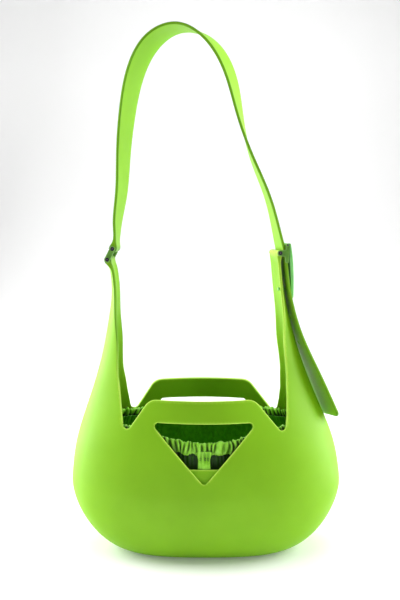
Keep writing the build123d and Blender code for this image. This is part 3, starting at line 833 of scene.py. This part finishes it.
def casing_mesh():
    """The gathered tube round the pouch's rim: a flattened ring with irregular pleats."""
    count, rows = 1400, 34
    angle, around = even_angles(count, 150.0)
    way = np.arange(count) * around / count
    outer_edges, outer_full = pleats(around)
    inner_edges, inner_full = pleats(around)
    lean, sway = wandering(count, 30), wandering(count, 60)
    height_noise, hem_noise, puff = wandering(count, 18), wandering(count, 25), wandering(count, 40)
    top = rim_height(angle) + 0.7 * height_noise
    tall = 13.6 + 1.5 * hem_noise
    points, faces = [], []
    for row in range(rows):
        turn = 2 * math.pi * row / rows
        out, up = math.cos(turn), math.sin(turn)
        level = (up + 1) / 2
        shift = 2.2 * lean * (level - 0.5) + 1.2 * sway * math.sin(3 * level)
        outer = ridge(way + shift, outer_edges, outer_full)
        inner = ridge(way - shift, inner_edges, inner_full)
        fold = outer * (1 + out) / 2 + inner * (1 - out) / 2
        body = abs(out) ** 0.55 * math.copysign(1, out)
        pinch = 0.74 + 0.26 * min(1.0, level * 2.5)
        half = (0.6 + 4.6 * fold + 0.35 * puff) * pinch
        droop = 5.0 * np.exp(-(((angle - math.radians(68)) / 0.09) ** 2)) * (1 - level) * (out < 0)
        z = top - tall * (1 - level) - 3.4 * (1 - fold) * level**3 - 1.6 * fold * (1 - level) ** 4 - droop
        z -= 0.6 * (1 - abs(body)) * (1 - 2 * level)
        centre = 10.2 + 0.3 * level + 0.5 * sway * math.cos(2.2 * level)
        points.append(inner_points(angle, run_at(z), centre - half * body))
        for k in range(count):
            nxt = (k + 1) % count
            low, high = row * count, ((row + 1) % rows) * count
            faces.append((low + k, low + nxt, high + nxt, high + k))
    points = np.concatenate(points)
    hollow = points - face_normals(points, faces) * 0.5
    return joined((points, faces), (hollow, [tuple(reversed(f)) for f in faces]))


def elastic_mesh():
    """The flat woven band inside the casing."""
    count = 360
    angle, _ = even_angles(count, 150.0)
    top = rim_height(angle)
    rows = [(10.1, -5.4), (10.7, -5.4), (10.7, -10.6), (10.1, -10.6)]
    points = [inner_points(angle, run_at(top + drop), np.full(count, inset)) for inset, drop in rows]
    faces = [(row * count + k, row * count + (k + 1) % count, (row + 1) % 4 * count + (k + 1) % count,
              (row + 1) % 4 * count + k) for row in range(4) for k in range(count)]
    return np.concatenate(points), [tuple(reversed(f)) for f in faces]


def pouch_mesh():
    """The cloth vessel under the casing, with the gathers running out down its wall."""
    count = 560
    angle, around = even_angles(count, 150.0)
    way = np.arange(count) * around / count
    edges, full = pleats(around)
    soft_edges = edges[::3] if (len(edges) - 1) % 3 == 0 else np.append(edges[:-1:3], edges[-1])
    soft_full = rng.uniform(0.4, 1.0, len(soft_edges) - 1)
    rim = rim_height(angle)
    waves = [wandering(count, size) for size in (60, 35, 90)]
    runs = np.concatenate([np.linspace(-FOOT_RUN + 2, 0, 20), np.linspace(0, 1, 60)[1:]])
    points, faces = [], []
    for row, value in enumerate(runs):
        if row < 20:
            run, level = np.full(count, value), 0.0
        else:
            level = value
            run = level * (run_at(rim - 9.0))
        gather = max(0.0, (level - 0.72) / 0.28) ** 1.5
        slack = math.sin(math.pi * min(1.0, level * 1.05)) ** 0.6 if level > 0 else 0.0
        shares = (math.sin(5 * level + 1), math.sin(9 * level + 2), math.cos(3 * level))
        wave = waves[0] * shares[0] + waves[1] * shares[1] + waves[2] * shares[2]
        inset = 4.9 + 10.0 * min(1.0, level * 2.2)
        inset = inset + slack * (1.1 + 0.9 * wave) + gather * (1.6 - 2.4 * ridge(way, edges, full))
        soft = ridge(way + 2 * waves[1], soft_edges, soft_full)
        inset = inset - 1.3 * slack * (level > 0.35) * (soft - 0.5)
        seam = np.exp(-(((angle - math.radians(86)) / 0.012) ** 2))
        inset = inset - 1.3 * seam * min(1.0, level * 4)
        points.append(inner_points(angle, run, inset))
        if row:
            low, high = (row - 1) * count, row * count
            faces += [(low + k, low + (k + 1) % count, high + (k + 1) % count, high + k)
                      for k in range(count)]
    points = np.concatenate(points)
    centre = len(points)
    points = np.concatenate([points, [(0, 0, points[:count, 2].mean())]])
    faces += [(centre, (k + 1) % count, k) for k in range(count)]
    normals = face_normals(points, faces)
    return thicken(points, normals, faces, np.full(len(points), 0.9), plain_rim(0.4, 1.0))


def face_normals(points, faces):
    """Smooth normals of a mesh."""
    total = np.zeros_like(points)
    for size in (3, 4):
        f = np.array([g for g in faces if len(g) == size])
        if len(f):
            n = np.cross(points[f[:, 2]] - points[f[:, 0]], points[f[:, -1]] - points[f[:, 1]])
            for k in range(size):
                np.add.at(total, f[:, k], n)
    return unit(total)


def wall_patch(width, low, high, inset, thickness, side, corner, step=1.6, bulge=None, waist=()):
    """A band or tab that follows the wall's inside.

    bulge(x, z) moves it in by some millimetres, and waist lists how much wider it is by half at some heights.
    """
    half = width / 2 - 0.4
    right = [(half, low, corner), *((half + wider, z, 3.0) for wider, z in waist), (half, high, corner)]
    if waist:
        right[-1] = (half + 1.6, high, corner)
    corners = [(BAND_CENTRE_X + x, z, r) for x, z, r in right + [(-x, z, r) for x, z, r in reversed(right)]]
    x0 = BAND_CENTRE_X
    flat, faces = fill(rounded(corners, step), (), step)
    angle, run = angle_at_x(flat[:, 0], flat[:, 1], side), run_at(flat[:, 1])
    extra = bulge(flat[:, 0] - x0, flat[:, 1]) if bulge else 0.0
    points = inner_points(angle, run, inset + extra)
    if side > 0:
        faces = [tuple(reversed(f)) for f in faces]
    return thicken(points, wall_normals(angle, run), faces, np.full(len(points), float(thickness)),
                   plain_rim(0.4, 0.7))


def tab_wave(x, z):
    """How far the tab's cloth stands in: it bellies out between its ends, with gathers up at its stitches."""
    gather = np.clip((z - 116) / 12, 0, 1)
    belly = np.sin(np.clip((z - TAB[1] - 12) / 30, 0, 1) * math.pi)
    return (0.7 * np.sin(x * 1.5 + 0.6) * gather + 0.3 * np.sin(z * 0.35 + x * 0.2)
            + (0.9 - 1.9 * belly) * np.cos(np.clip(x / 8, -1, 1) * math.pi / 2))


def stitch_row(points, normals, length=2.2, radius=0.28):
    """Thread dashes along a line of points on cloth."""
    meshes = []
    for a, b, n in zip(points[:-1:1], points[1::1], normals):
        along = unit(b - a)
        side = np.cross(along, n)
        rows = []
        for t in np.linspace(-1, 1, 7):
            bow = radius * (1 - t * t) ** 0.5
            centre = (a + b) / 2 + along * t * length / 2 + n * (radius * 0.9 * (1 - t * t))
            turn = np.arange(8) * math.pi / 4
            thick = max(bow, 0.02)
            rows.append(centre + np.outer(np.cos(turn), n) * thick + np.outer(np.sin(turn), side) * thick)
        faces = [(k * 8 + j, k * 8 + (j + 1) % 8, (k + 1) * 8 + (j + 1) % 8, (k + 1) * 8 + j)
                 for k in range(6) for j in range(8)]
        meshes.append((np.concatenate(rows), faces))
    return joined(*meshes)


def tab_stitches(side):
    """Two rows of thread across the tab."""
    width, _, inset, _ = TAB
    rows = []
    for z in STITCH_ROWS[side]:
        x = np.arange(BAND_CENTRE_X - width / 2 + 2.2, BAND_CENTRE_X + width / 2 - 1.6, 2.9)
        height = np.full(len(x), z)
        angle, run = angle_at_x(x, height, side), run_at(height)
        normals = wall_normals(angle, run)
        points = inner_points(angle, run, inset + tab_wave(x - BAND_CENTRE_X, height) - 0.05)
        rows.append(stitch_row(points, normals))
    return joined(*rows)


def snap(side, profile):
    """A lathed press stud part, its height measured inwards from the wall's outer face."""
    angle = angle_at_x(np.array([BAND_CENTRE_X]), np.array([SNAP_HEIGHT]), side)
    face = wall_points(angle, np.array([run_at(SNAP_HEIGHT)]))[0]

    def place(points):
        return np.column_stack([face[0] + points[:, 0] * side, face[1] - side * points[:, 2],
                                face[2] + points[:, 1]])

    return turned(profile, place)


STUD_PROFILE = [(0.01, 4.5), (1.75, 4.5), (1.75, 6.6), (1.3, 6.9), (1.3, 7.6), (1.75, 8.1),
                (1.7, 8.8), (1.1, 9.1), (0.01, 9.1)]
SOCKET_PROFILE = [(1.9, 7.5), (4.6, 7.5), (5.0, 7.8), (5.0, 8.6), (4.6, 9.0), (3.6, 9.3),
                  (3.3, 8.9), (1.9, 8.9)]


# ---------------------------------------------------------------- materials
def shader(name, colour, roughness, **values):
    """A material, its nodes, its links and its principled shader."""
    made = bpy.data.materials.new(name)
    made.use_nodes = True
    nodes, links = made.node_tree.nodes, made.node_tree.links
    surface = nodes["Principled BSDF"]
    surface.inputs["Base Color"].default_value = (*colour, 1)
    surface.inputs["Roughness"].default_value = roughness
    for key, value in values.items():
        surface.inputs[key.replace("_", " ").title().replace("Ior", "IOR")].default_value = value
    return made, nodes, links, surface


def linear(r, g, b):
    """An 8-bit display colour as linear light."""
    shares = (r / 255, g / 255, b / 255)
    return tuple(c / 12.92 if c < 0.04045 else ((c + 0.055) / 1.055) ** 2.4 for c in shares)


def noise(nodes, links, scale, detail=3.0):
    place = nodes.new("ShaderNodeTexCoord")
    made = nodes.new("ShaderNodeTexNoise")
    made.inputs["Scale"].default_value = scale
    made.inputs["Detail"].default_value = detail
    links.new(place.outputs["Object"], made.inputs["Vector"])
    return made.outputs["Fac"]


def ramp(nodes, links, fac, low, high, start=0.3, end=0.7):
    made = nodes.new("ShaderNodeValToRGB")
    made.color_ramp.elements[0].position, made.color_ramp.elements[0].color = start, (*low, 1)
    made.color_ramp.elements[1].position, made.color_ramp.elements[1].color = end, (*high, 1)
    links.new(fac, made.inputs["Fac"])
    return made.outputs["Color"]


def span(nodes, links, fac, low, high):
    made = nodes.new("ShaderNodeMapRange")
    made.inputs["To Min"].default_value, made.inputs["To Max"].default_value = low, high
    links.new(fac, made.inputs["Value"])
    return made.outputs["Result"]


def bump(nodes, links, surface, height, strength, distance, normal=None):
    made = nodes.new("ShaderNodeBump")
    made.inputs["Strength"].default_value, made.inputs["Distance"].default_value = strength, distance
    links.new(height, made.inputs["Height"])
    if normal:
        links.new(normal, made.inputs["Normal"])
    links.new(made.outputs["Normal"], surface.inputs["Normal"])
    return made.outputs["Normal"]


def mixed(nodes, links, fac, a, b):
    made = nodes.new("ShaderNodeMix")
    made.data_type = "RGBA"
    links.new(fac, made.inputs["Factor"])
    for socket, value in (("A", a), ("B", b)):
        if isinstance(value, tuple):
            made.inputs[socket].default_value = (*value, 1)
        else:
            links.new(value, made.inputs[socket])
    return made.outputs["Result"]


def crease_painted_shade(nodes, links, colour, reach, painted_shade_colour, least=0.35, most=0.9):
    """Painted shade: colour that darkens in creases and gaps, by ambient occlusion."""
    made = nodes.new("ShaderNodeAmbientOcclusion")
    made.samples = 6
    made.inputs["Distance"].default_value = reach
    fac = nodes.new("ShaderNodeMapRange")
    fac.inputs["From Min"].default_value, fac.inputs["From Max"].default_value = least, most
    links.new(made.outputs["AO"], fac.inputs["Value"])
    return mixed(nodes, links, fac.outputs["Result"], painted_shade_colour, colour)


def above(nodes, links, axis, low, high):
    """0 below low and 1 above high, in metres along an axis."""
    place = nodes.new("ShaderNodeTexCoord")
    split = nodes.new("ShaderNodeSeparateXYZ")
    fac = nodes.new("ShaderNodeMapRange")
    fac.inputs["From Min"].default_value, fac.inputs["From Max"].default_value = low, high
    links.new(place.outputs["Object"], split.inputs["Vector"])
    links.new(split.outputs[axis], fac.inputs["Value"])
    return fac.outputs["Result"]


def edge_tint(nodes, links, colour, edge_colour, low=0.5, high=0.56):
    """Colour that turns to edge_colour along convex edges; on the rubber this is a painted highlight and
    painted shade.
    """
    made = nodes.new("ShaderNodeNewGeometry")
    fac = nodes.new("ShaderNodeMapRange")
    fac.inputs["From Min"].default_value, fac.inputs["From Max"].default_value = low, high
    fac.inputs["To Max"].default_value = 0.85
    links.new(made.outputs["Pointiness"], fac.inputs["Value"])
    return mixed(nodes, links, fac.outputs["Result"], colour, edge_colour)


def rubber(name, low, high, edge, high_left_edge_shade):
    """Satin moulded rubber. Its convex edges are painted with edge (a painted highlight on the shell, painted
    shade on the strap) and go over to painted shade up the horn on the left.
    """
    made, nodes, links, surface = shader(name, high, 0.48, specular_ior_level=0.24, subsurface_weight=0.25,
                                         subsurface_scale=0.003)
    surface.inputs["Subsurface Radius"].default_value = (0.5, 1.0, 0.15)
    colour = ramp(nodes, links, noise(nodes, links, 14, 4), low, high, 0.35, 0.65)
    # Mask for the painted edge shade: high up on the left horn.
    climb = nodes.new("ShaderNodeMath")
    climb.operation = "MULTIPLY"
    links.new(above(nodes, links, "Z", 0.2, 0.26), climb.inputs[0])
    links.new(above(nodes, links, "X", 0.02, -0.02), climb.inputs[1])
    edges = mixed(nodes, links, climb.outputs[0], edge, high_left_edge_shade)
    # Painted highlight and painted shade along the convex edges.
    colour = edge_tint(nodes, links, colour, edges, 0.51, 0.55)
    links.new(colour, surface.inputs["Base Color"])
    links.new(span(nodes, links, noise(nodes, links, 38, 5), 0.42, 0.6), surface.inputs["Roughness"])
    first = bump(nodes, links, surface, noise(nodes, links, 1700, 2), 0.22, 0.00008)
    bump(nodes, links, surface, noise(nodes, links, 90, 2), 0.12, 0.0006, first)
    return made


def nylon(name, low, high, reach=0.012, least=0.42, most=0.92, sheen=0.12):
    """Thin shiny cloth: fine weave, crinkles, a sheen, and painted shade in its creases and gaps."""
    made, nodes, links, surface = shader(name, high, 0.4, sheen_weight=sheen, sheen_roughness=0.35,
                                         specular_ior_level=0.4)
    colour = ramp(nodes, links, noise(nodes, links, 160, 5), low, high, 0.35, 0.65)
    # Painted shade in the cloth's creases and gaps: a tenth of the low colour where they close in.
    colour = crease_painted_shade(nodes, links, colour, reach, tuple(0.1 * c for c in low), least, most)
    links.new(colour, surface.inputs["Base Color"])
    links.new(span(nodes, links, noise(nodes, links, 420, 3), 0.3, 0.5), surface.inputs["Roughness"])
    first = bump(nodes, links, surface, noise(nodes, links, 240, 5), 0.35, 0.0009)
    place = nodes.new("ShaderNodeTexCoord")
    heights = []
    for direction in ("X", "Z"):
        wave = nodes.new("ShaderNodeTexWave")
        wave.bands_direction = direction
        wave.inputs["Scale"].default_value = 260
        wave.inputs["Distortion"].default_value = 1.5
        links.new(place.outputs["Object"], wave.inputs["Vector"])
        heights.append(wave.outputs["Fac"])
    weave = nodes.new("ShaderNodeMath")
    weave.operation = "MAXIMUM"
    links.new(heights[0], weave.inputs[0])
    links.new(heights[1], weave.inputs[1])
    bump(nodes, links, surface, weave.outputs[0], 0.25, 0.00012, first)
    return made


def enamel(name, low, high, edge, roughness=0.3, metallic=0.0):
    """Sprayed metal with fine orange peel, and edge colour along its convex edges."""
    made, nodes, links, surface = shader(name, high, roughness, metallic=metallic, coat_weight=0.4,
                                         coat_roughness=0.12)
    colour = ramp(nodes, links, noise(nodes, links, 90, 4), low, high, 0.35, 0.65)
    links.new(edge_tint(nodes, links, colour, edge, 0.51, 0.6), surface.inputs["Base Color"])
    links.new(span(nodes, links, noise(nodes, links, 300, 3), roughness - 0.06, roughness + 0.1),
              surface.inputs["Roughness"])
    bump(nodes, links, surface, noise(nodes, links, 900, 3), 0.2, 0.00006)
    return made


# Painted light on the rubber's convex edges: a painted highlight along the shell's rims, and painted shade
# along the strap's edges and up the left horn.
RIM_PAINTED_HIGHLIGHT, EDGE_PAINTED_SHADE = linear(222, 255, 110), linear(58, 112, 16)
SHELL_RUBBER = rubber("moulded_rubber", linear(128, 184, 14), linear(134, 192, 20), RIM_PAINTED_HIGHLIGHT, EDGE_PAINTED_SHADE)
STRAP_RUBBER = rubber("strap_rubber", linear(128, 186, 16), linear(136, 194, 22), EDGE_PAINTED_SHADE, EDGE_PAINTED_SHADE)
NYLON = nylon("gathered_nylon", linear(136, 214, 40), linear(168, 240, 78))
# Painted shade: a darker copy of the nylon for the pouch cloth deep inside the shell, with deeper painted
# shade in its creases.
SHADED_POUCH_NYLON = nylon("pouch_nylon_painted_shade", linear(70, 152, 14), linear(92, 176, 24), 0.03, 0.25, 1.0, 0.0)
THREAD = nylon("thread", linear(60, 120, 18), linear(84, 150, 30))
ENAMEL = enamel("green_enamel", linear(78, 134, 32), linear(96, 158, 44), linear(170, 215, 110))
PLATE_ENAMEL = enamel("plate_enamel", linear(92, 186, 78), linear(108, 204, 90), linear(170, 225, 140), 0.34)
DARK_STEEL = enamel("dark_steel", linear(26, 20, 32), linear(44, 34, 50), linear(110, 105, 115), 0.34, 0.8)
ELASTIC = nylon("elastic_weave", linear(150, 190, 110), linear(176, 212, 140))


# ---------------------------------------------------------------- pieces
def build():
    piece("bag_shell", shell_mesh(), SHELL_RUBBER, replaces=["shell"])
    strap = piece("shoulder_strap", strap_mesh(), STRAP_RUBBER, body=None, replaces=["strap"])
    slope = math.radians(BEND_SLOPE)
    bend = np.array((math.cos(slope), math.sin(slope)))
    start, end = (np.array(LINK_UPPER) + bend * reach for reach in BEND_REACH)
    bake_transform(strap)
    for side, name in ((-1, "front"), (1, "rear")):
        piece("link_side_plate_" + name, link_plate(side), ENAMEL, "link",
              ["link_plate_" + name])
        piece("clasp_side_arm_" + name, clasp_arm(side), ENAMEL, "shell",
              ["clasp_arm_" + name])
        width, low, high, inset, thickness = RETAINER
        piece("pouch_retainer_" + name, wall_patch(width, low, high, inset, thickness, side, 5.0),
              SHELL_RUBBER, "shell", ["retaining_band_" + name])
    reach = BAND / 2 + SIDE_GAP + PLATE_THICKNESS
    for name, z in (("lower", 0.0), ("upper", LINK_LENGTH)):
        piece("link_axle_" + name, pin(link_place, 0, z, PIN_RADIUS, reach), ENAMEL,
              "link", ["link_%s_pin" % name])
    heads = [screw_head(link_place, 0, z, reach, sign) for z in (0.0, LINK_LENGTH) for sign in (-1, 1)]
    piece("link_screw_heads", joined(*heads), DARK_STEEL, "link", ["link_screws"])
    reach = BAND / 2 + ARM_GAP + ARM_THICKNESS
    piece("clasp_axle", pin(clasp_place, 0, 0, PIN_RADIUS, reach), ENAMEL,
          "shell", ["clasp_pin"])
    piece("clasp_hinge_axle", pin(clasp_place, *HINGE_AT, HINGE_PIN_RADIUS, reach), DARK_STEEL,
          "shell", ["clasp_hinge_pin"])
    heads = [screw_head(clasp_place, 0, 0, reach, sign) for sign in (-1, 1)]
    piece("clasp_screw_heads", joined(*heads), DARK_STEEL, "shell", ["clasp_screws"])
    piece("clasp_face_plate", clasp_plate_mesh(), PLATE_ENAMEL, "clasp", ["clasp_plate"])
    piece("clasp_lock_stud", clasp_stud_mesh(), PLATE_ENAMEL, "clasp", ["clasp_stud"])
    build_pouch()


def build_pouch():
    casing = piece("gathered_casing", casing_mesh(), NYLON, replaces=["pouch_casing"])
    body = piece("pouch_cloth", pouch_mesh(), SHADED_POUCH_NYLON, replaces=["pouch_body"])
    piece("woven_elastic", elastic_mesh(), ELASTIC, replaces=["pouch_elastic"])
    for side, name in ((-1, "front"), (1, "rear")):
        width, low, inset, thickness = TAB
        tab = wall_patch(width, low, TAB_TOP[side], inset, thickness, side, 1.5, 0.9, tab_wave,
                         [(0.2, 105.0), (-1.2, TAB_TOP[side] - 8.5)])
        stitches = piece("tab_stitches_" + name, tab_stitches(side), THREAD)
        strip = piece("pouch_pull_tab_" + name, tab, NYLON, replaces=["pouch_tab_" + name])
    for name, profile, node in (("press_studs", STUD_PROFILE, "tab_snap_studs"),
                                ("press_stud_sockets", SOCKET_PROFILE, "tab_snap_sockets")):
        piece(name, joined(*(snap(side, profile) for side in (-1, 1))), ENAMEL,
              replaces=[node])


# ---------------------------------------------------------------- stage
def cyclorama():
    """A pale floor that turns up into a backdrop."""
    rows = [(-3.0, 0.0), (1.2, 0.0)]
    rows += [(1.2 + 1.0 * math.sin(a), 1.0 - math.cos(a)) for a in np.linspace(0, math.pi / 2, 24)[1:]]
    rows += [(2.2, 3.2)]
    points = [(x, y, z) for y, z in rows for x in (-4.0, 4.0)]
    faces = [(2 * k, 2 * k + 1, 2 * k + 3, 2 * k + 2) for k in range(len(rows) - 1)]
    data = bpy.data.meshes.new("cyclorama")
    data.from_pydata(points, [], faces)
    data.polygons.foreach_set("use_smooth", [True] * len(faces))
    made = bpy.data.objects.new("cyclorama", data)
    bpy.context.scene.collection.objects.link(made)
    material, nodes, links, surface = shader("pale_sweep", (0.93, 0.93, 0.93), 0.6, emission_strength=0.1)
    surface.inputs["Emission Color"].default_value = (1, 1, 1, 1)
    colour = ramp(nodes, links, noise(nodes, links, 3, 2), (0.91, 0.91, 0.91), (0.94, 0.94, 0.94))
    links.new(colour, surface.inputs["Base Color"])
    data.materials.append(material)


def softbox(name, place, aim, size, power):
    data = bpy.data.lights.new(name, "AREA")
    data.shape = "RECTANGLE"
    data.size, data.size_y = size
    data.energy = power
    made = bpy.data.objects.new(name, data)
    made.location = place
    made.rotation_mode = "QUATERNION"
    made.rotation_quaternion = (Vector(aim) - Vector(place)).to_track_quat("-Z", "Y")
    bpy.context.scene.collection.objects.link(made)


def stage():
    cyclorama()
    softbox("left_softbox", (-1.25, 0.35, 0.5), (0, 0, 0.25), (1.0, 1.4), 40)
    softbox("right_softbox", (1.35, 0.2, 0.55), (0, 0, 0.25), (1.0, 1.4), 34)
    softbox("top_softbox", (0.0, 0.1, 1.9), (0, 0, 0.2), (1.6, 1.6), 20)
    world = bpy.data.worlds.new("studio")
    world.use_nodes = True
    world.node_tree.nodes["Background"].inputs["Color"].default_value = (1, 1, 1, 1)
    world.node_tree.nodes["Background"].inputs["Strength"].default_value = 0.3
    bpy.context.scene.world = world
    bpy.context.scene.view_settings.view_transform = "Standard"


CAMERA_PLACE = (-0.0072, -0.9, 0.387)
CAMERA_DROP = 5.42  # degrees below level
SENSOR, LENS = 36.0, 44.88


def camera():
    data = bpy.data.cameras.new("camera")
    data.sensor_width, data.lens = SENSOR, LENS
    data.dof.use_dof = False
    made = bpy.data.objects.new("camera", data)
    made.location = CAMERA_PLACE
    made.rotation_euler = (math.radians(90 - CAMERA_DROP), 0, 0)
    bpy.context.scene.collection.objects.link(made)
    bpy.context.scene.camera = made


build()
stage()
camera()
